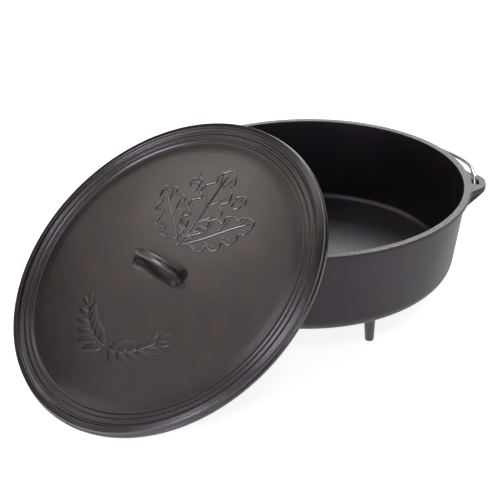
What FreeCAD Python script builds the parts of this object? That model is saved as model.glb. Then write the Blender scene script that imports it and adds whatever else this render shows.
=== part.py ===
"""Footed cast iron camp oven: pot on three legs, bail in two ears, and its lid leaning on the rim.

Millimetres, +Z up.  The origin is on the floor, on the pot's axis; the ears lie along X.
"""
import FreeCAD, Part
import math
import os

V = FreeCAD.Vector
CENTRE = V(0, 0, 0)
SIDE = V(1, 0, 0)
UP = V(0, 0, 1)

# ---- driving dimensions -------------------------------------------------------------------

# pot casting
rim_radius = 206.0          # outside of the rim flange
rim_edge = 1.0              # rounding of the flange's edges
flange_height = 5.5         # depth of the flange's side
flange_overhang = 5.0       # flange beyond the wall below it
wall_flare = 15.6           # the wall's radius grows by this much from the base to the flange
wall = 4.8                  # wall thickness, measured level
floor_thickness = 6.0
body_height = 114.5         # underside of the base to the rim
base_corner = 24.0          # outside rounding between base and wall

# legs
leg_names = ("leg_front", "leg_rear", "leg_left")
leg_height = 42.0
leg_set_in = 1.9            # root of the leg to the start of the base's rounding
leg_first_azimuth = -57.5
leg_top_radius = 7.4
leg_foot_radius = 5.4
leg_foot_flat = 3.6         # radius of the flat that touches the floor
leg_root_fillet = 3.5

# ears
ear_thickness = 7.0
ear_bar = 8.6               # plate beyond the slot
ear_end = 6.2               # plate past the slot's end, at the tip
ear_flare = 18.2            # half width gained from the tip to the rim
ear_tip_fillet = 12.0
ear_root_fillet = 9.0
slot_margin = 1.5           # rim to the slot
rib_thickness = 6.0
rib_drop = 21.0             # the ribs run down the wall to this depth under the ear's plate
rib_foot = 3.0              # a rib stands out from the wall by this much at its lower end

# bail
wire_diameter = 5.0
wire_side_clearance = 1.7   # wire to the slot's long sides and to the ribs
wire_lift_clearance = 0.3   # wire to the ear's faces and to the slot's ends
bail_tail = 10.0            # turned-out end under the ear
bail_bend = 5.0             # centreline radius of the hook's bends
bail_leg = 40.0             # hinge to the shoulder
bail_toe_in = 2.0           # the legs lean in by this much at the shoulder
bail_shoulder_run = 9.0     # the shoulder's bend takes up this much of the leg and of the arch
bail_past_rim = 5.0         # rim to the middle of the wire at the top of the arch
bail_set = 24.0             # the arch is bent back by this much at its top

# lid casting; the places on its top are measured inwards from the inside of the coal rim
lid_depth = 11.8            # lower face to the top of the coal rim
lid_edge = 1.0              # rounding of the lower edge
lid_band_height = 4.4       # lower band of the side
lid_step = 1.1              # height of the slope above the lower band
coal_rim_inset = 2.0        # the coal rim's top stands back from the lower band
coal_rim_draft = 0.5
coal_rim_width = 7.0
coal_rim_edge = 0.9         # rounding of the coal rim's top
coal_root_draft = 1.0       # slope of the coal rim's inner wall
coal_root_fillet = 1.4
plate_edge_height = 7.4     # top of the plate where it meets the coal rim
step_places = (6.0, 11.8)   # middle of each small step down
step_drop = 0.9
step_run = 0.8
groove_place = 21.0         # lowest point of the groove round the domed plate
groove_height = 4.9
plate_place = 31.0          # edge of the domed plate
plate_height = 6.5          # top of the domed plate at its edge
crown_height = 12.0         # top of the domed plate in the middle
crown_thickness = 6.0
skirt_clearance = 3.8       # locating ring under the lid to the pot's mouth, all round
skirt_width = 4.4
skirt_depth = 4.5
skirt_draft = 0.6

# lid handle, a cast loop over a hollow in the lid
loop_diameter = 11.8
loop_half_span = 31.0       # middle of the lid to the middle of a foot
loop_height = 28.0          # crown of the lid to the middle of the bar
loop_leg = 8.0              # straight run of a foot
loop_corner = 22.0          # centreline radius between a foot and the bar
loop_root_depth = 3.0       # the feet are rooted this deep in the lid
hollow_half_length = 43.0
hollow_half_width = 15.0
hollow_depth = 2.6

# the lid leans on the rim, with its lower edge on the floor
lean_tilt = 36.63
lean_azimuth = -132.0
lean_shift = 4.2            # the lid's middle stands aside by this much, level along the lid
lean_clearance = 0.3        # lid to rim

# ---- values that follow -------------------------------------------------------------------

rim_height = leg_height + body_height
flange_under = rim_height - flange_height
wall_top_radius = rim_radius - flange_overhang
base_radius = wall_top_radius - wall_flare
draft = wall_flare / (body_height - flange_height)
mouth_radius = wall_top_radius + draft * flange_height - wall
floor_level = leg_height + floor_thickness
floor_radius = base_radius + draft * floor_thickness - wall
leg_circle = base_radius - base_corner - leg_top_radius - leg_root_fillet - leg_set_in

wire_radius = wire_diameter / 2
ear_under = rim_height - ear_thickness
hinge_height = rim_height - ear_thickness / 2
hook_offset = ear_thickness / 2 + wire_radius + wire_lift_clearance
slot_half_width = wire_radius + wire_side_clearance
slot_half_length = ear_thickness / 2 + math.sqrt(2) * (wire_radius + wire_lift_clearance)
slot_centre = rim_radius + slot_margin + slot_half_width
ear_tip = slot_centre + slot_half_width + ear_bar
ear_tip_half = slot_half_length + ear_end
ear_root_half = ear_tip_half + ear_flare

lid_radius = rim_radius
coal_rim_radius = lid_radius - coal_rim_inset
coal_inside = coal_rim_radius - coal_rim_width
plate_radius = coal_inside - plate_place
skirt_outer = mouth_radius - skirt_clearance
skirt_inner = skirt_outer - skirt_width


def wall_radius(height):
    """Outside radius of the pot's wall at a height above the floor."""
    return base_radius + draft * (height - leg_height)


def at_azimuth(radius, degrees, height=0.0):
    angle = math.radians(degrees)
    return V(radius * math.cos(angle), radius * math.sin(angle), height)


def arc(start, middle, end):
    return Part.Arc(start, middle, end).toShape()


def one_solid(shape):
    """The shape's single solid, facing outwards."""
    solid = shape.Solids[0] if len(shape.Solids) == 1 else Part.Solid(shape.Shells[0])
    if solid.Volume < 0:
        solid.reverse()
    return solid


def turned(points):
    """Solid of revolution about Z from (radius, height) points and ("arc", middle, end) entries."""
    edges = []
    first = here = points[0]
    for item in list(points[1:]) + [first]:
        if item[0] == "arc":
            middle, end = item[1], item[2]
            edges.append(arc(V(here[0], 0, here[1]), V(middle[0], 0, middle[1]),
                             V(end[0], 0, end[1])))
            here = end
        elif item != here:
            edges.append(Part.makeLine(V(here[0], 0, here[1]), V(item[0], 0, item[1])))
            here = item
    return one_solid(Part.Face(Part.Wire(edges)).revolve(CENTRE, UP, 360))


def rings_near(solid, wanted, reach=0.05):
    """Circular edges about Z whose (radius, height) lies near a wanted pair."""
    found = []
    for edge in solid.Edges:
        if edge.Degenerated or not isinstance(edge.Curve, Part.Circle):
            continue
        ring = edge.Curve
        for radius, height in wanted:
            if abs(ring.Radius - radius) < reach and abs(ring.Center.z - height) < reach:
                found.append(edge)
    return found


# ---- pot ----------------------------------------------------------------------------------

def make_pot():
    pot = turned([(0, leg_height), (base_radius, leg_height), (wall_top_radius, flange_under),
                  (rim_radius, flange_under), (rim_radius, rim_height),
                  (mouth_radius, rim_height), (floor_radius, floor_level), (0, floor_level)])
    pot = pot.makeFillet(base_corner, rings_near(pot, [(base_radius, leg_height)]))
    pot = pot.makeFillet(base_corner - wall, rings_near(pot, [(floor_radius, floor_level)]))
    flange_rings = [(rim_radius, flange_under), (rim_radius, rim_height),
                    (mouth_radius, rim_height)]
    return one_solid(pot.makeFillet(rim_edge, rings_near(pot, flange_rings)))


def make_leg(azimuth):
    """Tapered round leg with a flared root and a small flat foot."""
    rounding = leg_foot_radius - leg_foot_flat
    bevel = rounding * (1 - math.sqrt(0.5))
    flare = leg_root_fillet * (1 - math.sqrt(0.5))
    leg = turned([(0, 0), (leg_foot_flat, 0),
                  ("arc", (leg_foot_radius - bevel, bevel), (leg_foot_radius, rounding)),
                  (leg_top_radius, leg_height - leg_root_fillet),
                  ("arc", (leg_top_radius + flare, leg_height - flare),
                   (leg_top_radius + leg_root_fillet, leg_height)),
                  (0, leg_height)])
    leg.translate(at_azimuth(leg_circle, azimuth))
    return leg


# ---- ears ---------------------------------------------------------------------------------

def ear_outline():
    """Plan of the right ear, from inside the wall out to the rounded tip."""
    root = V(math.sqrt(rim_radius ** 2 - ear_root_half ** 2), ear_root_half, 0)
    corner = V(ear_tip, ear_tip_half, 0)
    flank = (corner - root).normalize()
    outward = V(-flank.y, flank.x, 0)

    # rounded corner, tangent to the tip's edge and to the flank
    turn = math.acos(-flank.y)
    run = ear_tip_fillet * math.tan(turn / 2)
    tip_start = corner - V(0, run, 0)
    tip_end = corner - flank * run
    tip_centre = tip_start - SIDE * ear_tip_fillet
    tip_middle = tip_centre + (corner - tip_centre).normalize() * ear_tip_fillet

    # hollow root, tangent to the flank and to the round rim
    far = rim_radius + ear_root_fillet
    off = root.dot(outward) + ear_root_fillet
    root_centre = outward * off + flank * math.sqrt(far ** 2 - off ** 2)
    on_flank = root_centre - outward * ear_root_fillet
    on_rim = root_centre * (rim_radius / far)
    bisector = ((on_flank - root_centre) + (on_rim - root_centre)).normalize()
    root_middle = root_centre + bisector * ear_root_fillet

    inside = on_rim * (floor_radius / rim_radius)
    half = [Part.makeLine(inside, on_rim), arc(on_rim, root_middle, on_flank),
            Part.makeLine(on_flank, tip_end), arc(tip_end, tip_middle, tip_start)]
    other = [edge.mirror(CENTRE, V(0, 1, 0)) for edge in half]
    ends = [Part.makeLine(V(point.x, -point.y, 0), point) for point in (tip_start, inside)]
    return Part.Face(Part.Wire(Part.__sortEdges__(half + other + ends)))


def make_right_ear(pot):
    """Flat plate with a slot for the wire, carried by two ribs that leave room for the hook."""
    outline = ear_outline()
    plate = outline.extrude(UP * ear_thickness)
    plate.translate(UP * ear_under)
    slot = Part.makeBox(2 * slot_half_width, 2 * slot_half_length, 3 * ear_thickness,
                        V(slot_centre - slot_half_width, -slot_half_length,
                          ear_under - ear_thickness))
    uprights = [edge for edge in slot.Edges if edge.tangentAt(edge.FirstParameter).cross(UP).Length < 0.1]
    ear = plate.cut(slot.makeFillet(wire_radius, uprights))

    # each rib is a wedge from the tip down to the wall, trimmed to the plan
    rib_end = ear_under - rib_drop
    column = outline.extrude(UP * (ear_thickness + rib_drop))
    column.translate(UP * rib_end)
    wedge = Part.Face(Part.makePolygon([
        V(floor_radius, 0, ear_under), V(ear_tip, 0, ear_under),
        V(wall_radius(rib_end) + rib_foot, 0, rib_end), V(floor_radius, 0, rib_end),
        V(floor_radius, 0, ear_under)]))
    rib_side = hook_offset + wire_radius + wire_side_clearance
    for start in (rib_side, -rib_side - rib_thickness):
        rib = wedge.extrude(V(0, rib_thickness, 0))
        rib.translate(V(0, start, 0))
        ear = ear.fuse(rib.common(column))

    # the wall parts the ear from what lies inside the pot
    pieces = ear.removeSplitter().cut(pot).Solids
    return one_solid(max(pieces, key=lambda piece: piece.CenterOfMass.x))


# ---- bail ---------------------------------------------------------------------------------

def rounded_path(points, radii):
    """Straight runs joined by tangent arcs at the inner points, up to the end of the last arc."""
    edges = []
    here = points[0]
    for before, corner, after, radius in zip(points, points[1:], points[2:], radii):
        back = (before - corner).normalize()
        ahead = (after - corner).normalize()
        half = back.getAngle(ahead) / 2
        run = radius / math.tan(half)
        start, end = corner + back * run, corner + ahead * run
        middle = corner + (back + ahead).normalize() * (radius / math.sin(half) - radius)
        edges += [Part.makeLine(here, start), arc(start, middle, end)]
        here = end
    return edges


def make_bail():
    """One bent wire: tail under each ear, riser through the slot, leg, shoulder and round arch."""
    low = V(slot_centre, -hook_offset, hinge_height - hook_offset)
    tail = low + SIDE * bail_tail
    foot = V(slot_centre, hook_offset, hinge_height + hook_offset)
    shoulder = V(slot_centre - bail_toe_in, bail_leg, foot.z)
    top = V(0, rim_radius + bail_past_rim, foot.z - bail_set)

    # the arch: a circle through its top that the shoulder's bend runs into
    rise = top - V(0, shoulder.y, shoulder.z)
    height = rise.Length
    radius = (height + (shoulder.x ** 2 - bail_shoulder_run ** 2) / height) / 2
    centre = height - radius
    scale = radius ** 2 + bail_shoulder_run ** 2
    lead = SIDE * ((centre * radius - shoulder.x * bail_shoulder_run) / scale)
    lead += rise * ((centre * bail_shoulder_run + shoulder.x * radius) / scale / height)
    start = shoulder + lead * bail_shoulder_run

    half = (foot - shoulder).getAngle(lead) / 2
    right = rounded_path([tail, low, foot, shoulder, start],
                         [bail_bend, bail_bend, bail_shoulder_run * math.tan(half)])
    left = [edge.mirror(CENTRE, SIDE) for edge in reversed(right)]
    arch = arc(start, top, V(-start.x, start.y, start.z))
    path = Part.Wire(right + [arch] + left)
    section = Part.Wire(Part.makeCircle(wire_radius, tail, SIDE))
    return one_solid(path.makePipeShell([section], True, False))


# ---- lid ----------------------------------------------------------------------------------

def dome(radius, edge_radius, edge_height, top_height):
    """Height of a shallow round dome at a radius."""
    rise = top_height - edge_height
    sphere = (edge_radius ** 2 + rise ** 2) / (2 * rise)
    return top_height - sphere + math.sqrt(sphere ** 2 - radius ** 2)


def underside(radius):
    return dome(radius, skirt_inner, 0.0, crown_height - crown_thickness)


def make_plate():
    """Domed plate and groove inside two small steps and a raised coal rim; locating ring below."""
    crown = dome(plate_radius / 2, plate_radius, plate_height, crown_height)
    level = plate_edge_height - step_drop * len(step_places)
    groove_end = coal_inside - step_places[-1] - step_run / 2
    profile = [(0, crown_height),
               ("arc", (plate_radius / 2, crown), (plate_radius, plate_height)),
               ("arc", (coal_inside - groove_place, groove_height), (groove_end, level))]
    for place in reversed(step_places):
        level += step_drop
        profile.append((coal_inside - place + step_run / 2, level))
        if place != step_places[0]:
            profile.append((coal_inside - step_places[0] - step_run / 2, level))
    coal_root = (coal_inside - coal_root_draft, plate_edge_height)
    profile += [coal_root, (coal_inside, lid_depth), (coal_rim_radius, lid_depth),
                (coal_rim_radius + coal_rim_draft, lid_band_height + lid_step),
                (lid_radius, lid_band_height), (lid_radius, 0), (skirt_outer, 0),
                (skirt_outer - skirt_draft, -skirt_depth),
                (skirt_inner + skirt_draft, -skirt_depth), (skirt_inner, 0),
                ("arc", (skirt_inner / 2, underside(skirt_inner / 2)), (0, underside(0)))]
    plate = turned(profile)
    plate = plate.makeFillet(lid_edge, rings_near(plate, [(lid_radius, 0)]))
    coal_rings = [(coal_rim_radius, lid_depth), (coal_inside, lid_depth)]
    plate = plate.makeFillet(coal_rim_edge, rings_near(plate, coal_rings))
    return one_solid(plate.makeFillet(coal_root_fillet, rings_near(plate, [coal_root])))


def make_hollow():
    """Cutter for the shallow oval hollow under the loop: a barrel lying along the loop."""
    across = (hollow_half_width ** 2 + hollow_depth ** 2) / (2 * hollow_depth)
    along = (hollow_half_length ** 2 + hollow_depth ** 2) / (2 * hollow_depth)
    axis = crown_height - hollow_depth + across
    drop = along - math.sqrt(along ** 2 - hollow_half_length ** 2)
    corners = [V(side * hollow_half_length, 0, axis - across + drop) for side in (-1, 1)]
    ends = [V(corner.x, 0, axis) for corner in corners]
    edges = [arc(corners[0], V(0, 0, axis - across), corners[1]),
             Part.makeLine(corners[1], ends[1]), Part.makeLine(ends[1], ends[0]),
             Part.makeLine(ends[0], corners[0])]
    return one_solid(Part.Face(Part.Wire(edges)).revolve(ends[0], SIDE, 360))


def make_loop():
    """Round bar: straight feet, round corners and a flatter arch between them."""
    root = crown_height - hollow_depth - loop_root_depth
    spring = root + loop_leg
    rise = crown_height + loop_height - spring
    inset = loop_half_span - loop_corner
    arch = (inset ** 2 + rise ** 2 - loop_corner ** 2) / (2 * (rise - loop_corner))
    arch_centre = V(0, 0, spring + rise - arch)
    corner_centre = V(inset, 0, spring)
    lead = (corner_centre - arch_centre).normalize()
    half_turn = (SIDE + lead).normalize()
    foot = V(loop_half_span, 0, root)
    knee = V(loop_half_span, 0, spring)
    meet = corner_centre + lead * loop_corner
    right = [Part.makeLine(foot, knee), arc(knee, corner_centre + half_turn * loop_corner, meet)]
    left = [edge.mirror(CENTRE, SIDE) for edge in reversed(right)]
    bar = arc(meet, arch_centre + UP * arch, V(-meet.x, 0, meet.z))
    section = Part.Wire(Part.makeCircle(loop_diameter / 2, foot, UP))
    return one_solid(Part.Wire(right + [bar] + left).makePipeShell([section], True, False))


def lid_placement():
    """Turn and place the lid so that it lies on the rim and its lower edge is on the floor."""
    tilt = math.radians(lean_tilt)
    sine, cosine = math.sin(tilt), math.cos(tilt)
    height = (lid_radius - lid_edge) * sine + lid_edge * (1 - cosine)
    above = rim_height - rim_edge - height
    reach = 0.0
    for _ in range(4):      # the underside is domed, so the reach settles in a few rounds
        up_slope = reach * cosine + above * sine
        gap = rim_edge + lean_clearance - underside(math.hypot(up_slope, lean_shift))
        reach = (above * cosine + gap) / sine
    middle = at_azimuth(rim_radius - rim_edge + reach, lean_azimuth, height)
    middle += at_azimuth(lean_shift, lean_azimuth + 90)
    lean = FreeCAD.Rotation(at_azimuth(1, lean_azimuth + 90), lean_tilt)
    loop_level = FreeCAD.Rotation(UP, lean_azimuth + 90)
    return FreeCAD.Placement(middle, lean.multiply(loop_level))


# ---- build --------------------------------------------------------------------------------

def write(name, shape):
    shape.exportStep("parts/" + name + ".step")
    box = shape.BoundBox
    print("%-12s solids %d valid %s volume %.0f  X %.1f %.1f  Y %.1f %.1f  Z %.1f %.1f" % (
        name, len(shape.Solids), shape.isValid(), shape.Volume,
        box.XMin, box.XMax, box.YMin, box.YMax, box.ZMin, box.ZMax))


def main():
    os.makedirs("parts", exist_ok=True)
    pot = make_pot()
    write("pot_body", pot)
    ear = make_right_ear(pot)
    write("ear_right", ear)
    write("ear_left", ear.rotated(CENTRE, UP, 180))
    for number, name in enumerate(leg_names):
        write(name, make_leg(leg_first_azimuth + number * 360 / len(leg_names)))
    write("bail", make_bail())

    placement = lid_placement()
    plate = one_solid(make_plate().cut(make_hollow()))
    outside = make_loop().cut(plate).Solids
    loop = one_solid(max(outside, key=lambda piece: piece.Volume))
    for name, piece in (("lid_plate", plate), ("lid_handle", loop)):
        piece.Placement = placement.multiply(piece.Placement)
        write(name, piece)


main()
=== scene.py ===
import math

import bmesh
import bpy
from mathutils import Matrix, Vector


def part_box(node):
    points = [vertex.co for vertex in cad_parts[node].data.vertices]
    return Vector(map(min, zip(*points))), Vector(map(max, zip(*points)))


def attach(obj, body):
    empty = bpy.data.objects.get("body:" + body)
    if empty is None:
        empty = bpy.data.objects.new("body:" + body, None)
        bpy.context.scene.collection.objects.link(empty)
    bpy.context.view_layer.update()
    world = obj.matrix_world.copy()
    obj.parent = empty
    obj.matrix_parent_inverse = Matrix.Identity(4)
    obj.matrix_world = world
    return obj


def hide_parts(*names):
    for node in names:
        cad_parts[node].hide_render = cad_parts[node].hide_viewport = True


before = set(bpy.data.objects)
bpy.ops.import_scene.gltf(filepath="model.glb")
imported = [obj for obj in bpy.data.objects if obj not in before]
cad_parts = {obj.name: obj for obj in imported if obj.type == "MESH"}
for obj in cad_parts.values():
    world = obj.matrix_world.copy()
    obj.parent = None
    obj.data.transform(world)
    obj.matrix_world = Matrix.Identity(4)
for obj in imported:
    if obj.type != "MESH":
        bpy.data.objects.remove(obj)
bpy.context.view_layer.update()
mm = 0.001
weldDistance = 1e-6     # metres
scene = bpy.context.scene
print("frame loaded")


def toLinear(hexColour):
    channels = [int(hexColour[i:i + 2], 16) / 255 for i in (1, 3, 5)]
    return [c / 12.92 if c <= 0.04045 else ((c + 0.055) / 1.055) ** 2.4 for c in channels] + [1.0]


def addNode(tree, kind, settings=None, links=None):
    node = tree.nodes.new(kind)
    for key, value in (settings or {}).items():
        if isinstance(key, str) and hasattr(node, key):
            setattr(node, key, value)
        else:
            node.inputs[key].default_value = value
    for key, socket in (links or {}).items():
        tree.links.new(socket, node.inputs[key])
    return node


def addPiece(bm, name, body, nodes, materials, sharpAngle=None):
    mesh = bpy.data.meshes.new(name)
    bm.to_mesh(mesh)
    bm.free()
    for material in materials:
        mesh.materials.append(material)
    mesh.shade_smooth()
    if sharpAngle:
        mesh.set_sharp_from_angle(angle=math.radians(sharpAngle))
    piece = bpy.data.objects.new(name, mesh)
    scene.collection.objects.link(piece)
    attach(piece, body)
    if nodes:
        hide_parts(*nodes)
    return piece


def appliedMesh(bm, modifiers):
    # runs modifiers on a loose mesh and gives the result back as a bmesh
    mesh = bpy.data.meshes.new("work")
    bm.to_mesh(mesh)
    bm.free()
    work = bpy.data.objects.new("work", mesh)
    scene.collection.objects.link(work)
    for kind, settings in modifiers:
        modifier = work.modifiers.new(kind, kind)
        for key, value in settings.items():
            setattr(modifier, key, value)
    view = bpy.context.evaluated_depsgraph_get()
    result = bpy.data.meshes.new_from_object(work.evaluated_get(view))
    out = bmesh.new()
    out.from_mesh(result)
    bpy.data.objects.remove(work)
    bpy.data.meshes.remove(mesh)
    bpy.data.meshes.remove(result)
    return out


def bevelCorners(bm, verts, corners, segments):
    # the last of a corner's three numbers is its rounding in mm; 0 stays a plain point
    for vert, (_, _, rounding) in zip(verts, corners):
        if rounding:
            bmesh.ops.bevel(bm, geom=[vert], offset=rounding * mm, offset_type="OFFSET",
                            segments=segments, profile=0.5, affect="VERTICES", material=-1)


def roundedProfile(corners, segments=5):
    # corners are (radius, height, rounding) in mm
    bm = bmesh.new()
    verts = [bm.verts.new((radius * mm, 0, height * mm)) for radius, height, _ in corners]
    for here, there in zip(verts, verts[1:]):
        bm.edges.new((here, there))
    bevelCorners(bm, verts, corners, segments)
    return bm


def spinProfile(bm, steps):
    bmesh.ops.spin(bm, geom=bm.verts[:] + bm.edges[:], cent=(0, 0, 0), axis=(0, 0, 1),
                   angle=math.tau, steps=steps, use_merge=True)
    bmesh.ops.remove_doubles(bm, verts=bm.verts, dist=weldDistance)
    bmesh.ops.recalc_face_normals(bm, faces=bm.faces)
    return bm


def thicken(bm, faces, vec):
    # a flat face becomes a solid
    grown = bmesh.ops.extrude_face_region(bm, geom=faces)
    moved = [item for item in grown["geom"] if isinstance(item, bmesh.types.BMVert)]
    bmesh.ops.translate(bm, verts=moved, vec=vec)


def roundWire(name, radius, segments):
    curve = bpy.data.curves.new(name, "CURVE")
    curve.dimensions = "3D"
    curve.bevel_depth = radius * mm
    curve.bevel_resolution = segments
    curve.use_fill_caps = True
    return curve


def wireMesh(curve):
    wire = bpy.data.objects.new(curve.name, curve)
    scene.collection.objects.link(wire)
    view = bpy.context.evaluated_depsgraph_get()
    mesh = bpy.data.meshes.new_from_object(wire.evaluated_get(view))
    bpy.data.objects.remove(wire)
    bm = bmesh.new()
    bm.from_mesh(mesh)
    bmesh.ops.remove_doubles(bm, verts=bm.verts, dist=weldDistance)
    bmesh.ops.recalc_face_normals(bm, faces=bm.faces)
    return bm


def pieceName(node):
    kind, side = node.split("_")
    return kind + side.capitalize()


# what shows in the iron's surface
ironLook = {
    "sandGrain": 2.0,       # mm; moulding sand is 0.3 mm grit, drawn coarser so that it shows
    "mouldLumps": 9.0,      # mm, slow waves left by the rammed mould
    "oilBlotches": 85.0,    # mm, uneven oil seasoning
    "rustBlotches": 26.0,   # mm, faint browner patches in the oil
    "groundSpecks": 3.0,    # mm, bare and oiled spots on a ground face
    "grainDepth": 0.035,    # mm
    "lumpDepth": 0.05,      # mm
    "glossRange": (0.3, 0.7),       # noise values between which the gloss changes
    "patchRange": (0.42, 0.7),      # noise values between which the browner tint comes in
}
wireLook = {
    "spangle": 6.0,         # mm, zinc crystals
    "spangleDepth": 0.002,  # mm
    "glossSwing": 0.04,     # roughness, either way
}


def castIron(name, dark, light, tint, roughest, smoothest, grainDepth=ironLook["grainDepth"], ior=1.5,
             sheen="#ffffff", patchSize=ironLook["rustBlotches"]):
    # sand-cast grey iron under baked oil: near black, semi-gloss, soft-edged pits and waves;
    # the roughest is where the oil is thin, the smoothest where it is thick
    material = bpy.data.materials.new(name)
    material.use_nodes = True
    tree = material.node_tree
    shader = tree.nodes["Principled BSDF"]
    place = addNode(tree, "ShaderNodeTexCoord").outputs["Object"]
    blotch = addNode(tree, "ShaderNodeTexNoise",
                     {"Scale": 1 / (ironLook["oilBlotches"] * mm), "Detail": 3.0, "Roughness": 0.55},
                     {"Vector": place})
    lumps = addNode(tree, "ShaderNodeTexNoise",
                    {"Scale": 1 / (ironLook["mouldLumps"] * mm), "Detail": 2.0}, {"Vector": place})
    grain = addNode(tree, "ShaderNodeTexNoise",
                    {"Scale": 1 / (ironLook["sandGrain"] * mm), "Detail": 2.0, "Roughness": 0.6},
                    {"Vector": place})
    colour = addNode(tree, "ShaderNodeMix",
                     {"data_type": "RGBA", 6: toLinear(dark), 7: toLinear(light)},
                     {0: blotch.outputs["Fac"]})
    glossLow, glossHigh = ironLook["glossRange"]
    gloss = addNode(tree, "ShaderNodeMapRange", {"From Min": glossLow, "From Max": glossHigh,
                                                 "To Min": smoothest, "To Max": roughest},
                    {"Value": blotch.outputs["Fac"]})
    waves = addNode(tree, "ShaderNodeBump", {"Strength": 1.0, "Distance": ironLook["lumpDepth"] * mm},
                    {"Height": lumps.outputs["Fac"]})
    pits = addNode(tree, "ShaderNodeBump", {"Strength": 1.0, "Distance": grainDepth * mm},
                   {"Height": grain.outputs["Fac"], "Normal": waves.outputs["Normal"]})
    patch = addNode(tree, "ShaderNodeTexNoise",
                    {"Scale": 1 / (patchSize * mm), "Detail": 3.0}, {"Vector": place})
    patchLow, patchHigh = ironLook["patchRange"]
    spread = addNode(tree, "ShaderNodeMapRange", {"From Min": patchLow, "From Max": patchHigh},
                     {"Value": patch.outputs["Fac"]})
    tinted = addNode(tree, "ShaderNodeMix", {"data_type": "RGBA", 7: toLinear(tint)},
                     {0: spread.outputs["Result"], 6: colour.outputs[2]})
    tree.links.new(tinted.outputs[2], shader.inputs["Base Color"])
    tree.links.new(gloss.outputs["Result"], shader.inputs["Roughness"])
    tree.links.new(pits.outputs["Normal"], shader.inputs["Normal"])
    shader.inputs["IOR"].default_value = ior
    shader.inputs["Specular Tint"].default_value = toLinear(sheen)
    return material


def platedSteel(name, colour, roughness):
    # drawn steel wire, bright zinc plate: even sheen, faint spangle
    material = bpy.data.materials.new(name)
    material.use_nodes = True
    tree = material.node_tree
    shader = tree.nodes["Principled BSDF"]
    place = addNode(tree, "ShaderNodeTexCoord").outputs["Object"]
    spangle = addNode(tree, "ShaderNodeTexNoise", {"Scale": 1 / (wireLook["spangle"] * mm), "Detail": 1.0},
                      {"Vector": place})
    gloss = addNode(tree, "ShaderNodeMapRange", {"To Min": roughness - wireLook["glossSwing"],
                                                 "To Max": roughness + wireLook["glossSwing"]},
                    {"Value": spangle.outputs["Fac"]})
    bump = addNode(tree, "ShaderNodeBump",
                   {"Strength": 1.0, "Distance": wireLook["spangleDepth"] * mm},
                   {"Height": spangle.outputs["Fac"]})
    tree.links.new(gloss.outputs["Result"], shader.inputs["Roughness"])
    tree.links.new(bump.outputs["Normal"], shader.inputs["Normal"])
    shader.inputs["Base Color"].default_value = toLinear(colour)
    shader.inputs["Metallic"].default_value = 1.0
    return material


# oil baked on the outside, semi-matt with a cool sheen
potIron = castIron("seasonedPotIron", "#161317", "#1d1a1e", "#221a17", 0.5, 0.42, sheen="#faf0ff")
# the inside: glossier, oiled again after use, and drawn darker as painted shade inside the pot
shadedInsideIron = castIron("insideIronPaintedShade", "#0e0c0f", "#131115", "#16110f", 0.4, 0.33, ior=1.56,
                      sheen="#faf0ff")
# the legs: a lighter grey, painted light for the bright floor that they reflect
legIron = castIron("legIronPaintedLight", "#3a3638", "#423e40", "#3e3734", 0.4, 0.34, ior=1.75,
                   sheen="#faf0ff")
# machined flat and thinly oiled: dull grey with bare specks
groundIron = castIron("groundRimIron", "#7b7d7b", "#898b88", "#535350", 0.6, 0.52,
                      grainDepth=0.11, patchSize=ironLook["groundSpecks"])
# the lid under more oil: a warmer black and a broad soft gloss
lidIron = castIron("seasonedLidIron", "#1a1817", "#201e1c", "#251f1b", 0.27, 0.2, ior=1.54)
# raised ornament, polished by rubbing: bright along its edges
reliefIron = castIron("rubbedReliefIron", "#2a2826", "#33312e", "#302b27", 0.18, 0.14,
                      grainDepth=0.012, ior=1.9)
# the loop, worn smooth by the hand
loopIron = castIron("handledLoopIron", "#242120", "#2c2927", "#2f2721", 0.37, 0.31, ior=1.65)
wireSteel = platedSteel("zincPlatedWire", "#c9c9c6", 0.3)
groundFinish, insideFinish = 1, 2       # a face's place in its piece's list of finishes
print("finishes made")


# the pot, one casting with its legs and ears; its lengths, the bail's and the lid's are in mm
pot = {
    "wall": 4.8, "floor": 6.0, "flangeHeight": 5.5, "flangeOverhang": 5.0, "wallFlare": 15.6,
    "baseCorner": 24.0, "insideCorner": 8.0, "flangeFillet": 1.5, "edge": 1.0,
    "tangentShare": 0.867,      # the wall leans, so a corner's tangent run is shorter than its radius
    "midRing": 0.5,             # share of the radius where the flat base and floor have a ring
    "cornerSegments": 12, "steps": 256,
    # the level top is ground: how far under it, and how level, a ground face may be
    "groundBand": 0.25, "groundNormal": 0.9,
    # the inside starts this far under the floor's level, and looks inwards or up; it is drawn darker, as
    # painted shade
    "insideBand": 0.5, "insideOutward": 1e-5, "insideNormal": -0.5,
}
potLow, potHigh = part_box("pot_body")
rimRadius = potHigh.x / mm
rimHeight = potHigh.z / mm
baseHeight = potLow.z / mm
flangeUnder = rimHeight - pot["flangeHeight"]
wallTop = rimRadius - pot["flangeOverhang"]
baseRadius = wallTop - pot["wallFlare"]
draft = pot["wallFlare"] / (flangeUnder - baseHeight)
mouthRadius = wallTop + draft * pot["flangeHeight"] - pot["wall"]


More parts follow.
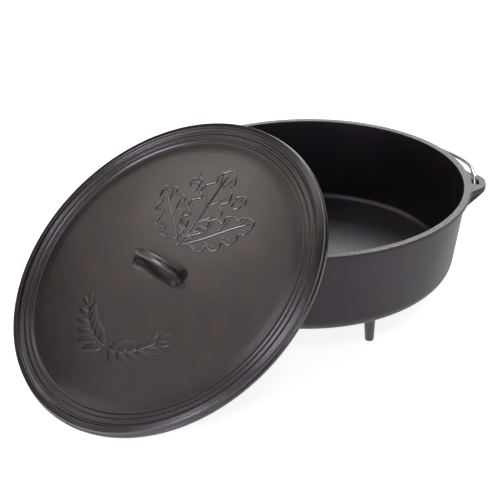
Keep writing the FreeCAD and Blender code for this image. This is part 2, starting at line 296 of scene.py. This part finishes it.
def makePot():
    floorHeight = baseHeight + pot["floor"]
    floorRadius = baseRadius + draft * pot["floor"] - pot["wall"]
    outerCorner = pot["baseCorner"] * pot["tangentShare"]
    innerCorner = pot["insideCorner"] * pot["tangentShare"]
    edge = pot["edge"]
    bm = roundedProfile([
        (0, baseHeight, 0), (baseRadius * pot["midRing"], baseHeight, 0),
        (baseRadius, baseHeight, outerCorner), (wallTop, flangeUnder, pot["flangeFillet"]),
        (rimRadius, flangeUnder, edge), (rimRadius, rimHeight, edge),
        (mouthRadius, rimHeight, edge), (floorRadius, floorHeight, innerCorner),
        (floorRadius * pot["midRing"], floorHeight, 0), (0, floorHeight, 0)],
        segments=pot["cornerSegments"])
    spinProfile(bm, pot["steps"])
    for face in bm.faces:
        centre = face.calc_center_median()
        outward = centre.x * face.normal.x + centre.y * face.normal.y
        inward = outward < pot["insideOutward"] and face.normal.z > pot["insideNormal"]
        if centre.z > (rimHeight - pot["groundBand"]) * mm and face.normal.z > pot["groundNormal"]:
            face.material_index = groundFinish
        # inside faces take the darker finish, painted shade for the inside of the pot
        elif centre.z > (floorHeight - pot["insideBand"]) * mm and inward:
            face.material_index = insideFinish
    piece = addPiece(bm, "potBody", "pot", ["pot_body"],
                     [potIron, groundIron, shadedInsideIron])
    piece.modifiers.new("evenNormals", "WEIGHTED_NORMAL")


leg = {
    "footRadius": 5.4, "footEdge": 1.8, "neckRadius": 7.4, "neckDrop": 3.5, "neckFillet": 2.0,
    "rootDome": 1.5, "steps": 48,
}


def makeLeg(node):
    low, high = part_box(node)
    centre = (low + high) / 2
    rootRadius = (high.x - low.x) / 2 / mm
    bm = roundedProfile([(0, 0, 0), (leg["footRadius"], 0, leg["footEdge"]),
                         (leg["neckRadius"], baseHeight - leg["neckDrop"], leg["neckFillet"]),
                         (rootRadius, baseHeight, 0), (0, baseHeight + leg["rootDome"], 0)])
    spinProfile(bm, leg["steps"])
    bmesh.ops.translate(bm, verts=bm.verts, vec=(centre.x, centre.y, 0))
    addPiece(bm, pieceName(node), "pot", [node], [legIron])


ear = {
    "thickness": 7.0, "tipHalf": 13.66, "rootHalf": 31.86, "tipCorner": 8.5, "rootFillet": 6.0,
    "slotCentre": 211.7, "slotHalfWidth": 4.2, "slotHalfLength": 7.46, "slotCorner": 3.2,
    "slotSegments": 5, "cutterHeight": 40.0, "tipInset": 0.1, "cornerSegments": 6,
    "rootSpread": 6.0, "rimSpread": 9.0,    # the plate widens past its root, inside the casting
    "buried": 2.0,                          # how deep plate and ribs reach into the wall
    "ribThickness": 6.0, "ribSide": 10.5, "ribDrop": 21.0, "ribFoot": 3.0, "ribTipGap": 3.0,
    "ribOverlap": 3.0, "sunk": 0.05, "voxel": 0.6, "softening": 3, "softenBy": 0.5,
    "groundBand": 0.4, "groundNormal": 0.85,
}


def makeEar(node, turn):
    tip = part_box("ear_right")[1].x / mm - ear["tipInset"]
    top = rimHeight - ear["sunk"]
    under = rimHeight - ear["thickness"]
    rootX = math.sqrt(rimRadius ** 2 - ear["rootHalf"] ** 2)
    rimY = ear["rootHalf"] + ear["rimSpread"]
    rimX = math.sqrt(rimRadius ** 2 - rimY ** 2)
    deep = wallTop - ear["buried"]

    # plan of the plate, rounded at the tip and hollowed into the rim
    plate = bmesh.new()
    half = [(deep, 0, 0), (deep, ear["rootHalf"] + ear["rootSpread"], 0), (rimX, rimY, 0),
            (rootX, ear["rootHalf"], ear["rootFillet"]), (tip, ear["tipHalf"], ear["tipCorner"])]
    outline = [(x, y, r) for x, y, r in half] + [(x, -y, r) for x, y, r in reversed(half[1:])]
    verts = [plate.verts.new((x * mm, y * mm, top * mm)) for x, y, _ in outline]
    plate.faces.new(verts)
    bevelCorners(plate, verts, outline, ear["cornerSegments"])
    thicken(plate, plate.faces[:], (0, 0, (under - top) * mm))
    bmesh.ops.recalc_face_normals(plate, faces=plate.faces)

    # slot cutter
    slot = bmesh.new()
    bmesh.ops.create_cube(slot, size=1, matrix=Matrix.Diagonal(
        (2 * ear["slotHalfWidth"] * mm, 2 * ear["slotHalfLength"] * mm, ear["cutterHeight"] * mm, 1)))
    uprights = [edge for edge in slot.edges if abs((edge.verts[0].co - edge.verts[1].co).z) > mm]
    bmesh.ops.bevel(slot, geom=uprights, offset=ear["slotCorner"] * mm, offset_type="OFFSET",
                    segments=ear["slotSegments"], profile=0.5, affect="EDGES", material=-1)
    bmesh.ops.translate(slot, verts=slot.verts, vec=(ear["slotCentre"] * mm, 0, rimHeight * mm))
    slotMesh = bpy.data.meshes.new("slotCutter")
    slot.to_mesh(slotMesh)
    slot.free()
    cutter = bpy.data.objects.new("slotCutter", slotMesh)
    scene.collection.objects.link(cutter)
    plate = appliedMesh(plate, [("BOOLEAN", {"object": cutter, "operation": "DIFFERENCE"})])
    bpy.data.objects.remove(cutter)
    bpy.data.meshes.remove(slotMesh)

    # two ribs, wedges from the tip down to the wall
    ribEnd = under - ear["ribDrop"]
    wallThere = baseRadius + draft * (ribEnd - baseHeight)
    ribTip = tip - ear["ribTipGap"]
    ribTop = under + ear["ribOverlap"]
    for start in (ear["ribSide"], -ear["ribSide"] - ear["ribThickness"]):
        side = [(wallThere - ear["buried"], ribEnd), (wallThere + ear["ribFoot"], ribEnd),
                (ribTip, under), (ribTip, ribTop), (deep, ribTop)]
        verts = [plate.verts.new((x * mm, start * mm, z * mm)) for x, z in side]
        thicken(plate, [plate.faces.new(verts)], (0, ear["ribThickness"] * mm, 0))
    bmesh.ops.recalc_face_normals(plate, faces=plate.faces)

    # cast in one: joined, then softened at every edge and root
    bm = appliedMesh(plate, [("REMESH", {"mode": "VOXEL", "voxel_size": ear["voxel"] * mm})])
    for _ in range(ear["softening"]):
        bmesh.ops.smooth_vert(bm, verts=bm.verts, factor=ear["softenBy"], use_axis_x=True,
                              use_axis_y=True, use_axis_z=True)
    if turn:
        bmesh.ops.rotate(bm, verts=bm.verts, cent=(0, 0, 0), matrix=Matrix.Rotation(math.pi, 3, "Z"))
    groundFrom = (top - ear["groundBand"]) * mm
    for face in bm.faces:
        if face.calc_center_median().z > groundFrom and face.normal.z > ear["groundNormal"]:
            face.material_index = groundFinish
    addPiece(bm, pieceName(node), "pot", [node], [potIron, groundIron])


makePot()
for legNode in ("leg_front", "leg_rear", "leg_left"):
    makeLeg(legNode)
makeEar("ear_right", False)
makeEar("ear_left", True)
print("pot, legs and ears made")


# the bail, one wire: a hook through each ear, a shoulder and one long arch
bail = {
    "wire": 5.0, "hook": 6.3, "tail": 10.0, "bend": 5.0, "leg": 40.0, "toeIn": 2.0,
    "shoulderRun": 9.0, "pastRim": 4.9, "set": 24.0,
    "tailSteps": 6, "hookSteps": 5, "shoulderSteps": 6, "archPoints": 128, "wireSegments": 6,
    "sharpAngle": 50,
}


def roundCorner(before, corner, after, radius, count):
    back = (before - corner).normalized()
    ahead = (after - corner).normalized()
    half = back.angle(ahead) / 2
    centre = corner + (back + ahead).normalized() * (radius / math.sin(half))
    start = corner + back * (radius / math.tan(half)) - centre
    end = corner + ahead * (radius / math.tan(half)) - centre
    return [centre + start.slerp(end, step / count).normalized() * radius
            for step in range(count + 1)]


def makeBail():
    slotX = ear["slotCentre"]
    hinge = rimHeight - ear["thickness"] / 2
    hook = bail["hook"]
    low = Vector((slotX, -hook, hinge - hook))
    tail = low + Vector((bail["tail"], 0, 0))
    foot = Vector((slotX, hook, hinge + hook))
    shoulder = Vector((slotX - bail["toeIn"], bail["leg"], foot.z))
    top = Vector((0, rimRadius + bail["pastRim"], foot.z - bail["set"]))

    # the arch is a circle through its top that the shoulder's bend runs into
    run = bail["shoulderRun"]
    rise = top - Vector((0, shoulder.y, shoulder.z))
    radius = (rise.length + (shoulder.x ** 2 - run ** 2) / rise.length) / 2
    centre = rise.length - radius
    lead = Vector((centre * radius - shoulder.x * run, 0, 0)) / (radius ** 2 + run ** 2)
    lead += rise.normalized() * ((centre * run + shoulder.x * radius) / (radius ** 2 + run ** 2))
    start = shoulder + lead * run
    shoulderRadius = run * math.tan((foot - shoulder).angle(lead) / 2)

    right = [tail] + roundCorner(tail, low, foot, bail["bend"], bail["tailSteps"])
    right += roundCorner(low, foot, shoulder, bail["bend"], bail["hookSteps"])
    right += roundCorner(foot, shoulder, start, shoulderRadius, bail["shoulderSteps"])
    middle = Vector((0, shoulder.y, shoulder.z)) + rise.normalized() * centre
    reach = (start - middle).angle(rise)
    arch = []
    for step in range(1, bail["archPoints"]):
        turn = reach * (1 - 2 * step / bail["archPoints"])
        arch.append(middle + rise.normalized() * radius * math.cos(turn)
                    + Vector((radius * math.sin(turn), 0, 0)))
    left = [Vector((-point.x, point.y, point.z)) for point in reversed(right)]
    path = right + arch + left

    curve = roundWire("bailPath", bail["wire"] / 2, bail["wireSegments"])
    spline = curve.splines.new("POLY")
    spline.points.add(len(path) - 1)
    for point, place in zip(spline.points, path):
        point.co = (*(place * mm), 1)
    addPiece(wireMesh(curve), "bail", "bail", ["bail"], [wireSteel],
             sharpAngle=bail["sharpAngle"])


makeBail()
print("bail made")


# the lid, made lying level with its rim's underside at height 0, then leaned on the pot
lid = {
    "depth": 11.8, "edge": 1.0, "bandHeight": 4.4, "step": 1.1, "coalInset": 2.0, "coalDraft": 0.5,
    "coalWidth": 7.0, "coalFall": 1.7, "coalEdge": 0.8, "rootDraft": 1.5, "rootHeight": 8.0,
    "rootFillet": 1.4,
    # the reeds inside the coal rim: (distance inwards from it, height, rounding)
    "reeds": ((18.4, 4.9, 1.2), (15.6, 6.7, 0.8), (12.4, 6.0, 0.8), (9.6, 7.4, 0.8), (5.6, 6.5, 0.9),
              (3.2, 7.8, 0.8)),
    "platePlace": 31.0, "plateHeight": 6.7, "shoulder": 5.0, "crown": 12.0, "thickness": 6.0,
    "skirtClearance": 3.8, "skirtWidth": 4.4, "skirtDepth": 4.5, "skirtDraft": 0.6,
    "skirtFillet": 0.8, "skirtEdge": 1.0, "bandEdge": 0.5,
    "tilt": 36.63, "azimuth": -132.0,
    # rings of the plate as (start, spacing, count), close together round the hollow
    "rings": ((0, 1.5, 24), (35.5, 0.5, 26), (52, 6.0, 19)),
    "ringGap": 2.0, "underRings": 10, "cornerSegments": 4, "steps": 384,
}
hollow = {
    "halfLength": 43.0, "halfWidth": 17.0, "endHalfWidth": 9.5, "middleDepth": 0.6, "endDepth": 2.8,
    "deepens": (18.0, 37.0), "endRun": 1.8, "endCurve": 5.0, "lip": 0.55,
    "lipPlace": 0.4, "lipWidth": 0.5,       # in end runs
    "topSkin": 1.5, "reach": 60.0,          # the points that may sink: this near the top and middle
}
loop = {
    "bar": 10.6, "halfSpan": 31.8, "height": 28.0, "squareness": 2.3, "root": 2.6,
    "flare": 0.45, "flareHeight": 3.2, "fineSteps": 2000, "steps": 140, "barSegments": 8,
}

lidRadius = rimRadius
coalRadius = lidRadius - lid["coalInset"]
coalInside = coalRadius - lid["coalWidth"]
plateRadius = coalInside - lid["platePlace"]
skirtOuter = mouthRadius - lid["skirtClearance"]
skirtInner = skirtOuter - lid["skirtWidth"]


def domeHeight(radius, edgeRadius, edgeHeight, topHeight):
    rise = topHeight - edgeHeight
    sphere = (edgeRadius ** 2 + rise ** 2) / (2 * rise)
    return topHeight - sphere + math.sqrt(sphere ** 2 - radius ** 2)


def crownHeight(radius):
    return domeHeight(radius, plateRadius, lid["plateHeight"], lid["crown"])


def smooth(value, start, stop):
    share = min(max((value - start) / (stop - start), 0.0), 1.0)
    return share * share * (3 - 2 * share)


def hollowDepth(x, y):
    # a faint trough between the feet, deeper round each, with a steep end and a fine lip
    narrow = hollow["endHalfWidth"] - hollow["halfWidth"]
    half = hollow["halfWidth"] + narrow * min(abs(x) / hollow["halfLength"], 1) ** 3
    across = abs(y) / half
    if across >= 1:
        return 0.0
    soft = (1 - across ** 2) ** 2
    depth = hollow["middleDepth"]
    depth += (hollow["endDepth"] - depth) * smooth(abs(x), *hollow["deepens"])
    end = hollow["halfLength"] - hollow["endCurve"] * across ** 2
    past = (abs(x) - end) / hollow["endRun"]
    crest = math.exp(-((past - hollow["lipPlace"]) / hollow["lipWidth"]) ** 2)
    lip = hollow["lip"] * crest * soft ** 0.5
    return depth * soft * smooth(-past, 0, 1) - lip


def lidTurn():
    azimuth = math.radians(lid["azimuth"])
    level = Vector((math.cos(azimuth + math.pi / 2), math.sin(azimuth + math.pi / 2), 0))
    lean = Matrix.Rotation(math.radians(lid["tilt"]), 4, level)
    return lean @ Matrix.Rotation(azimuth + math.pi / 2, 4, "Z")


def makePlate():
    rings = [start + k * spacing for start, spacing, count in lid["rings"] for k in range(count)]
    lastRing = plateRadius - lid["shoulder"] - lid["ringGap"]
    corners = [(radius, crownHeight(radius), 0) for radius in rings if radius < lastRing]
    corners.append((plateRadius, lid["plateHeight"], lid["shoulder"]))
    corners += [(coalInside - place, height, rounding) for place, height, rounding in lid["reeds"]]
    corners += [(coalInside - lid["rootDraft"], lid["rootHeight"], lid["rootFillet"]),
                (coalInside, lid["depth"], lid["coalEdge"]),
                (coalRadius, lid["depth"] - lid["coalFall"], lid["coalEdge"]),
                (coalRadius + lid["coalDraft"], lid["bandHeight"] + lid["step"], lid["bandEdge"]),
                (lidRadius, lid["bandHeight"], lid["bandEdge"]), (lidRadius, 0, lid["edge"]),
                (skirtOuter, 0, lid["skirtFillet"]),
                (skirtOuter - lid["skirtDraft"], -lid["skirtDepth"], lid["skirtEdge"]),
                (skirtInner + lid["skirtDraft"], -lid["skirtDepth"], lid["skirtEdge"]),
                (skirtInner, 0, lid["skirtFillet"])]
    under = lid["crown"] - lid["thickness"]
    for k in range(1, lid["underRings"] + 1):
        radius = skirtInner * (1 - k / lid["underRings"])
        corners.append((radius, domeHeight(radius, skirtInner, 0, under), 0))
    bm = spinProfile(roundedProfile(corners, segments=lid["cornerSegments"]), lid["steps"])

    for vert in bm.verts:       # the oval hollow under the loop
        x, y = vert.co.x / mm, vert.co.y / mm
        if vert.co.z / mm > lid["crown"] - hollow["topSkin"] and math.hypot(x, y) < hollow["reach"]:
            vert.co.z -= hollowDepth(x, y) * mm
    bm.transform(lidTurn())

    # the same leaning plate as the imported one, so its box gives its place
    low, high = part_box("lid_plate")
    xs, ys, zs = zip(*(vert.co for vert in bm.verts))
    shift = (low + high) / 2 - Vector(((min(xs) + max(xs)) / 2, (min(ys) + max(ys)) / 2,
                                       (min(zs) + max(zs)) / 2))
    bmesh.ops.translate(bm, verts=bm.verts, vec=shift)
    piece = addPiece(bm, "lidPlate", "lid", ["lid_plate"], [lidIron])
    piece.modifiers.new("evenNormals", "WEIGHTED_NORMAL")
    return Matrix.Translation(shift) @ lidTurn()


def makeLoop(lidPlace):
    base = lid["crown"] - hollow["endDepth"] - loop["root"]
    rise = lid["crown"] + loop["height"] - base
    fine = loop["fineSteps"]
    arch = []
    for step in range(fine + 1):
        angle = math.pi * step / fine
        side = math.cos(angle)
        across = loop["halfSpan"] * math.copysign(abs(side) ** (2 / loop["squareness"]), side)
        height = base + rise * math.sin(angle) ** (2 / loop["squareness"])
        arch.append(Vector((across, 0, height)))
    # points at even steps along the arch
    walked = [0.0]
    for here, there in zip(arch, arch[1:]):
        walked.append(walked[-1] + (there - here).length)
    count = loop["steps"]
    even = []
    at = 0
    for step in range(count + 1):
        while at < fine and walked[at] < walked[-1] * step / count - 1e-9:
            at += 1
        even.append(arch[at])
    curve = roundWire("loopPath", loop["bar"] / 2, loop["barSegments"])
    spline = curve.splines.new("POLY")
    spline.points.add(count)
    for point, place in zip(spline.points, even):
        point.co = (*(place * mm), 1)
        point.radius = 1 + loop["flare"] * math.exp(-(place.z - base) / loop["flareHeight"])
    bm = wireMesh(curve)
    bm.transform(lidPlace)
    addPiece(bm, "lidLoop", "lid", ["lid_handle"], [loopIron])


lidPlace = makePlate()
makeLoop(lidPlace)

# raised casting ornament: a fan of lobed leaves with acorns above the loop, a leaf sprig below
fan = {
    # leaves are (length, width, turn in degrees), acorns (x, y, turn)
    "root": (2.0, 33.0), "leaves": ((112.0, 52.0, 0.0), (97.0, 44.0, 50.0), (97.0, 44.0, -50.0)),
    "bead": 1.25, "sunk": -0.1, "veinBead": 0.95,
    "acorns": ((40.0, 112.0, -20.0), (-36.0, 113.0, 20.0)),
}
leafShape = {       # places and reaches are shares of the leaf's length or half width
    "lobes": 4, "lobeDepth": 0.2, "lobePlace": 0.62, "notchPower": 2.5,
    "bellyPower": 0.85, "fullPower": 0.6, "stalk": 0.12, "outlineSteps": 96,
    "ribWave": 1.2, "ribWaveSteps": 3, "ribReach": 0.94, "ribSteps": 16,
    "veinRun": 0.2, "firstVein": 0.03, "lastVein": 0.97, "veinReach": 0.78, "veinBend": 1.3,
    "veinSteps": 6,
}
acorn = {           # the shares are of its length or width
    "length": 20.0, "width": 13.0, "nutLength": 0.62, "cupLength": 0.36, "cupWidth": 0.62,
    "nutSteps": 20, "cupSteps": 16, "stalk": ((0, 0.36), (1.5, 0.55), (4.0, 0.7)),
    "hatchGap": 0.3, "hatchStart": 1.0, "hatchLean": 1.6, "hatchLength": 0.24,
}
beading = {"radius": 1.0, "segments": 3, "endSize": 0.45, "endGain": 0.3}
sprig = {
    "centre": (0.0, -40.0), "radius": 70.0, "reach": 62.0, "pairs": 6, "leafLength": 33.0,
    "leafWidth": 13.0, "leafRise": 0.95, "leafSunk": 0.25, "splay": 36.0, "shrink": 0.06,
    "taperPower": 0.35, "taperGain": 1.15, "firstLeaf": 4, "lastGap": 0.5,
    "stemBead": 0.9, "stemSunk": 0.2, "stemSteps": 24,
}


def onCrown(x, y, sunk=0.0):
    return Vector((x, y, crownHeight(math.hypot(x, y)) - sunk)) * mm


def turned(x, y, degrees, origin):
    # degrees swing the +Y direction towards -X
    cosine = math.cos(math.radians(degrees))
    sine = math.sin(math.radians(degrees))
    return origin[0] + x * cosine - y * sine, origin[1] + x * sine + y * cosine


def leafStrokes(length, width, degrees, origin):
    # lobed outline, midrib and a vein to each lobe, as (points, bead) in the lid's plan
    lobes = leafShape["lobes"]
    stalk = leafShape["stalk"]

    def half(t):
        notch = (1 - math.cos(math.tau * (lobes * t - leafShape["lobePlace"]))) / 2
        full = math.sin(math.pi * t ** leafShape["bellyPower"]) ** leafShape["fullPower"]
        return width / 2 * full * (1 - 2 * leafShape["lobeDepth"] * notch ** leafShape["notchPower"])

    steps = leafShape["outlineSteps"]
    right = [(half(k / steps), length * (stalk + (1 - stalk) * k / steps)) for k in range(steps + 1)]
    outline = right + [(-x, y) for x, y in reversed(right[1:-1])] + [right[0]]
    midrib = [(leafShape["ribWave"] * math.sin(k / leafShape["ribWaveSteps"]),
               length * leafShape["ribReach"] * k / leafShape["ribSteps"])
              for k in range(leafShape["ribSteps"] + 1)]
    strokes = [(outline, fan["bead"]), (midrib, fan["bead"])]
    for lobe in range(lobes):
        tip = (lobe + leafShape["lobePlace"]) / lobes
        foot = max(tip - leafShape["veinRun"], leafShape["firstVein"])
        for side in (1, -1):
            vein = []
            for k in range(leafShape["veinSteps"] + 1):
                u = k / leafShape["veinSteps"]
                t = foot + (tip - foot) * u ** leafShape["veinBend"]
                reach = half(min(tip, leafShape["lastVein"])) * leafShape["veinReach"] * u
                vein.append((side * reach, length * (stalk + (1 - stalk) * t)))
            strokes.append((vein, fan["veinBead"]))
    return [([turned(x, y, degrees, origin) for x, y in points], bead) for points, bead in strokes]


def ovalPoints(halfWidth, length, steps):
    angles = [math.pi * k / steps for k in range(steps + 1)]
    return [(halfWidth * math.cos(angle), length * math.sin(angle)) for angle in angles]


def acornStrokes(x, y, degrees):
    length = acorn["length"]
    width = acorn["width"]
    nut = ovalPoints(width / 2, -length * acorn["nutLength"], acorn["nutSteps"])
    cup = ovalPoints(width * acorn["cupWidth"], length * acorn["cupLength"], acorn["cupSteps"])
    stalk = [(across, length * along) for across, along in acorn["stalk"]]
    strokes = [(nut, fan["bead"]), (cup + [cup[0]], fan["bead"]), (stalk, fan["bead"])]
    for k in (-1, 0, 1):
        across = k * width * acorn["hatchGap"]
        strokes.append(([(across, acorn["hatchStart"]),
                         (across + acorn["hatchLean"], length * acorn["hatchLength"])],
                        fan["veinBead"]))
    return [([turned(px, py, degrees, (x, y)) for px, py in points], bead)
            for points, bead in strokes]


def strokesToMesh(strokes, sunk):
    curve = roundWire("strokes", beading["radius"], beading["segments"])
    for points, bead in strokes:
        spline = curve.splines.new("POLY")
        closed = points[0] == points[-1]
        if closed:
            points = points[:-1]
            spline.use_cyclic_u = True
        spline.points.add(len(points) - 1)
        for k, (point, (x, y)) in enumerate(zip(spline.points, points)):
            point.co = (*onCrown(x, y, sunk), 1)
            fromEnd = min(k, len(points) - 1 - k)
            size = 1 if closed else min(1.0, beading["endSize"] + fromEnd * beading["endGain"])
            point.radius = bead * size
    return wireMesh(curve)


def makeFan():
    strokes = []
    for length, width, degrees in fan["leaves"]:
        strokes += leafStrokes(length, width, degrees, fan["root"])
    for x, y, degrees in fan["acorns"]:
        strokes += acornStrokes(x, y, degrees)
    bm = strokesToMesh(strokes, fan["sunk"])
    bm.transform(lidPlace)
    addPiece(bm, "lidLeafFan", "lid", [], [reliefIron])


def makeSprig():
    centre = sprig["centre"]
    radius = sprig["radius"]

    def onArc(degrees):
        a = math.radians(degrees)
        return centre[0] + radius * math.sin(a), centre[1] - radius * math.cos(a)

    steps = sprig["stemSteps"]
    stems = [([onArc(side * sprig["reach"] * k / steps) for k in range(steps + 1)], sprig["stemBead"])
             for side in (1, -1)]
    bm = strokesToMesh(stems, sprig["stemSunk"])
    first = sprig["firstLeaf"]
    for side in (1, -1):
        for k in range(sprig["pairs"]):
            at = side * (first + (sprig["reach"] - first) * k / (sprig["pairs"] - sprig["lastGap"]))
            x, y = onArc(at)
            for flank in (1, -1):
                heading = at - side * 90 + side * flank * sprig["splay"]
                if k == sprig["pairs"] - 1 and flank == 1:
                    heading = at - side * 90        # the last one points along the stem
                size = 1 - sprig["shrink"] * k
                leaf = bmesh.new()
                bmesh.ops.create_uvsphere(leaf, u_segments=24, v_segments=12, radius=1)
                for vert in leaf.verts:     # a drop: full near its stalk, drawn to a point
                    u = (vert.co.y + 1) / 2
                    taper = (1 - u) ** sprig["taperPower"] * sprig["taperGain"]
                    vert.co = Vector((vert.co.x * sprig["leafWidth"] / 2 * size * taper,
                                      u * sprig["leafLength"] * size,
                                      vert.co.z * sprig["leafRise"] * taper))
                for vert in leaf.verts:
                    px, py = turned(vert.co.x, vert.co.y, heading, (x, y))
                    vert.co = onCrown(px, py, sprig["leafSunk"]) + Vector((0, 0, vert.co.z * mm))
                mesh = bpy.data.meshes.new("leaf")
                leaf.to_mesh(mesh)
                leaf.free()
                bm.from_mesh(mesh)
                bpy.data.meshes.remove(mesh)
    bmesh.ops.recalc_face_normals(bm, faces=bm.faces)
    bm.transform(lidPlace)
    addPiece(bm, "lidSprig", "lid", [], [lidIron])


makeFan()
makeSprig()
print("lid made")


# camera, floor and light; their lengths are in metres
camera = {"place": (0.0314, -1.4710, 0.8414), "yaw": -4.073, "pitch": 28.023, "roll": -1.4505,
          "lens": 92.284, "sensor": 36}


def makeCamera():
    yaw, pitch, roll = (math.radians(camera[key]) for key in ("yaw", "pitch", "roll"))
    ahead = Vector((math.sin(yaw) * math.cos(pitch), math.cos(yaw) * math.cos(pitch), -math.sin(pitch)))
    right = Vector((math.cos(yaw), -math.sin(yaw), 0))
    up = right.cross(ahead)
    turnedRight = right * math.cos(roll) + up * math.sin(roll)
    turnedUp = up * math.cos(roll) - right * math.sin(roll)
    data = bpy.data.cameras.new("camera")
    data.lens = camera["lens"]
    data.sensor_width = camera["sensor"]
    eye = bpy.data.objects.new("camera", data)
    eye.matrix_world = Matrix.Translation(camera["place"]) @ Matrix(
        (turnedRight, turnedUp, -ahead)).transposed().to_4x4()
    scene.collection.objects.link(eye)
    scene.camera = eye


studio = {
    "horizon": 1.0, "zenith": 0.05,     # tent walls and its open top
    "wallTop": (0.03, 0.16),            # height of the ray where the wall starts and stops fading
    "fill": 0.6,                        # share of the tent's light that reaches matt surfaces
    "floorColour": "#c8c8c6",
    "floorRoughness": 0.9,
    "floorGlow": 0.88,                  # makes the floor white where nothing shades it
    "floorSize": 12.0,
    "aim": (-0.05, -0.05, 0.1),         # what every softbox points at
}
softboxes = {
    # name: (azimuth and height in degrees, distance, width, height, radiance, colour)
    "backSheet": (82, 38, 2.2, 1.3, 0.8, 6.0, "#ffffff"),
    "backRight": (45, 35, 2.2, 1.1, 0.8, 3.0, "#fff2e4"),
    "overheadBack": (95, 66, 2.2, 0.9, 0.9, 2.4, "#ffffff"),
    "overheadLeft": (146, 70, 2.2, 0.6, 0.4, 2.2, "#fff4ec"),
    "leftSheet": (172, 47, 2.2, 1.6, 1.3, 0.85, "#fff4ec"),
    "leftCore": (156, 47, 2.2, 0.62, 0.55, 1.9, "#fff4ec"),
    "leftLow": (190, 23, 2.2, 0.5, 0.4, 2.0, "#f6eeff"),
    "frontLeft": (224, 28, 2.2, 0.75, 0.7, 11.5, "#ece2ff"),
    "frontLeftSpark": (242, 20, 2.2, 0.4, 0.4, 34.0, "#f2eaff"),
    "frontLeftHigh": (214, 58, 2.2, 0.45, 0.4, 10.0, "#f0e6ff"),
    "frontLeftLow": (228, 9, 2.2, 1.3, 0.6, 6.0, "#f4e8ff"),
    "frontRight": (288, 47, 2.2, 0.5, 0.5, 11.0, "#f8f4ff"),
}


def seenDirectly(tree):
    # 1 for what the camera, a reflection or a refraction sees, 0 for light on matt surfaces
    path = addNode(tree, "ShaderNodeLightPath")
    either = addNode(tree, "ShaderNodeMath", {"operation": "MAXIMUM"},
                     {0: path.outputs["Is Camera Ray"], 1: path.outputs["Is Glossy Ray"]})
    return addNode(tree, "ShaderNodeMath", {"operation": "MAXIMUM"},
                   {0: either.outputs[0], 1: path.outputs["Is Transmission Ray"]}).outputs[0]


def makeTent():
    world = bpy.data.worlds.new("tent")
    world.use_nodes = True
    scene.world = world
    tree = world.node_tree
    ray = addNode(tree, "ShaderNodeTexCoord").outputs["Generated"]
    height = addNode(tree, "ShaderNodeSeparateXYZ", links={0: ray}).outputs["Z"]
    fadeStart, fadeEnd = studio["wallTop"]
    wall = addNode(tree, "ShaderNodeMapRange",
                   {"interpolation_type": "SMOOTHSTEP", "From Min": fadeStart, "From Max": fadeEnd,
                    "To Min": studio["horizon"], "To Max": studio["zenith"]}, {"Value": height})
    matt = addNode(tree, "ShaderNodeMapRange", {"To Min": studio["fill"], "To Max": 1.0},
                   {"Value": seenDirectly(tree)})
    strength = addNode(tree, "ShaderNodeMath", {"operation": "MULTIPLY"},
                       {0: wall.outputs["Result"], 1: matt.outputs["Result"]})
    tree.links.new(strength.outputs[0], tree.nodes["Background"].inputs["Strength"])
    tree.nodes["Background"].inputs["Color"].default_value = (1, 1, 1, 1)


def makeFloor():
    bm = bmesh.new()
    bmesh.ops.create_grid(bm, x_segments=1, y_segments=1, size=studio["floorSize"])
    mesh = bpy.data.meshes.new("floor")
    bm.to_mesh(mesh)
    bm.free()
    floor = bpy.data.objects.new("floor", mesh)
    scene.collection.objects.link(floor)
    material = bpy.data.materials.new("paleFloor")
    material.use_nodes = True
    tree = material.node_tree
    shader = tree.nodes["Principled BSDF"]
    shader.inputs["Base Color"].default_value = toLinear(studio["floorColour"])
    shader.inputs["Roughness"].default_value = studio["floorRoughness"]
    shader.inputs["Specular IOR Level"].default_value = 0.0
    shader.inputs["Emission Color"].default_value = (1, 1, 1, 1)
    glow = addNode(tree, "ShaderNodeMath", {"operation": "MULTIPLY", 1: studio["floorGlow"]},
                   {0: seenDirectly(tree)})
    tree.links.new(glow.outputs[0], shader.inputs["Emission Strength"])
    mesh.materials.append(material)


def makeSoftboxes():
    for name, (azimuth, rise, distance, width, height, radiance, colour) in softboxes.items():
        around, up = math.radians(azimuth), math.radians(rise)
        direction = Vector((math.cos(around) * math.cos(up), math.sin(around) * math.cos(up),
                            math.sin(up)))
        data = bpy.data.lights.new(name, "AREA")
        data.shape = "RECTANGLE"
        data.size, data.size_y = width, height
        data.energy = radiance * math.pi * width * height
        data.color = toLinear(colour)[:3]
        lamp = bpy.data.objects.new(name, data)
        lamp.location = direction * distance + Vector(studio["aim"])
        lamp.rotation_euler = direction.to_track_quat("Z", "Y").to_euler()
        lamp.visible_camera = False
        scene.collection.objects.link(lamp)


makeCamera()
makeTent()
makeFloor()
makeSoftboxes()
scene.view_settings.view_transform = "Standard"
print("studio made")
